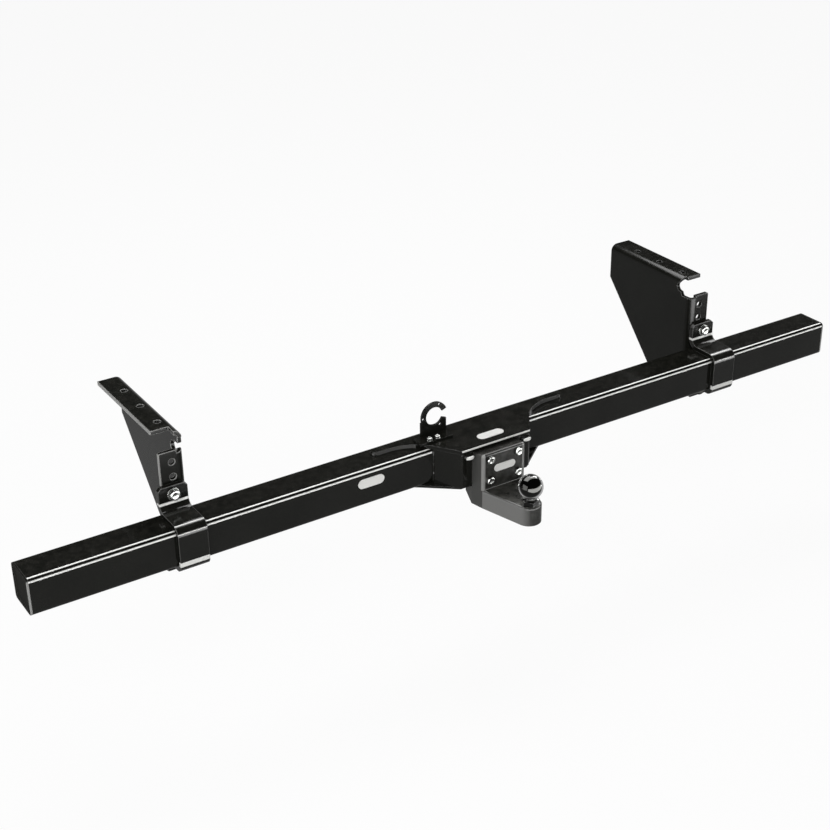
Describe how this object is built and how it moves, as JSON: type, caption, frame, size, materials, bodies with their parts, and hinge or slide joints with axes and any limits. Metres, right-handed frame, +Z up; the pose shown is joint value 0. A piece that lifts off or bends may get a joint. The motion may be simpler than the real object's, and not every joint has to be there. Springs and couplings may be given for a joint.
{
  "type": "towbar",
  "caption": "Fixed towbar: square cross tube on folded chassis brackets, with a plated nose, a bolted tongue with its ball, chain loops and a socket bracket.",
  "frame": {"origin": "centre of the tow ball", "axes": "+X along the cross tube to the right as seen from behind the vehicle, +Y towards the vehicle, +Z up"},
  "size_m": [1.88, 0.537, 0.275],
  "materials": {
    "black_paint": "satin black powder coat",
    "tongue_paint": "satin black over a cast surface",
    "zinc": "bright zinc plate",
    "ball_steel": "polished",
    "label_plate": "blank matt plate"
  },
  "bodies": {
    "root": {"cross_tube": "black_paint", "end_cap_left": "black_paint", "end_cap_right": "black_paint", "side_bracket_left": "black_paint", "side_bracket_right": "black_paint", "strap_left": "black_paint", "strap_right": "black_paint", "strap_bolts": "zinc", "strap_washers": "zinc", "strap_nuts": "zinc", "nose_top_plate": "black_paint", "nose_bottom_plate": "black_paint", "nose_front_plate": "black_paint", "chain_loop_left": "black_paint", "chain_loop_right": "black_paint", "tongue": "tongue_paint", "tongue_bolts": "zinc", "tongue_washers": "zinc", "tongue_nuts": "zinc", "tow_ball": "ball_steel", "ball_washer": "zinc", "ball_nut": "zinc", "socket_bracket": "black_paint", "socket_bolts": "zinc", "socket_washers": "zinc", "bar_label_plate": "label_plate", "nose_label_plate": "label_plate", "tongue_label_plate": "label_plate"}
  },
  "joints": []
}
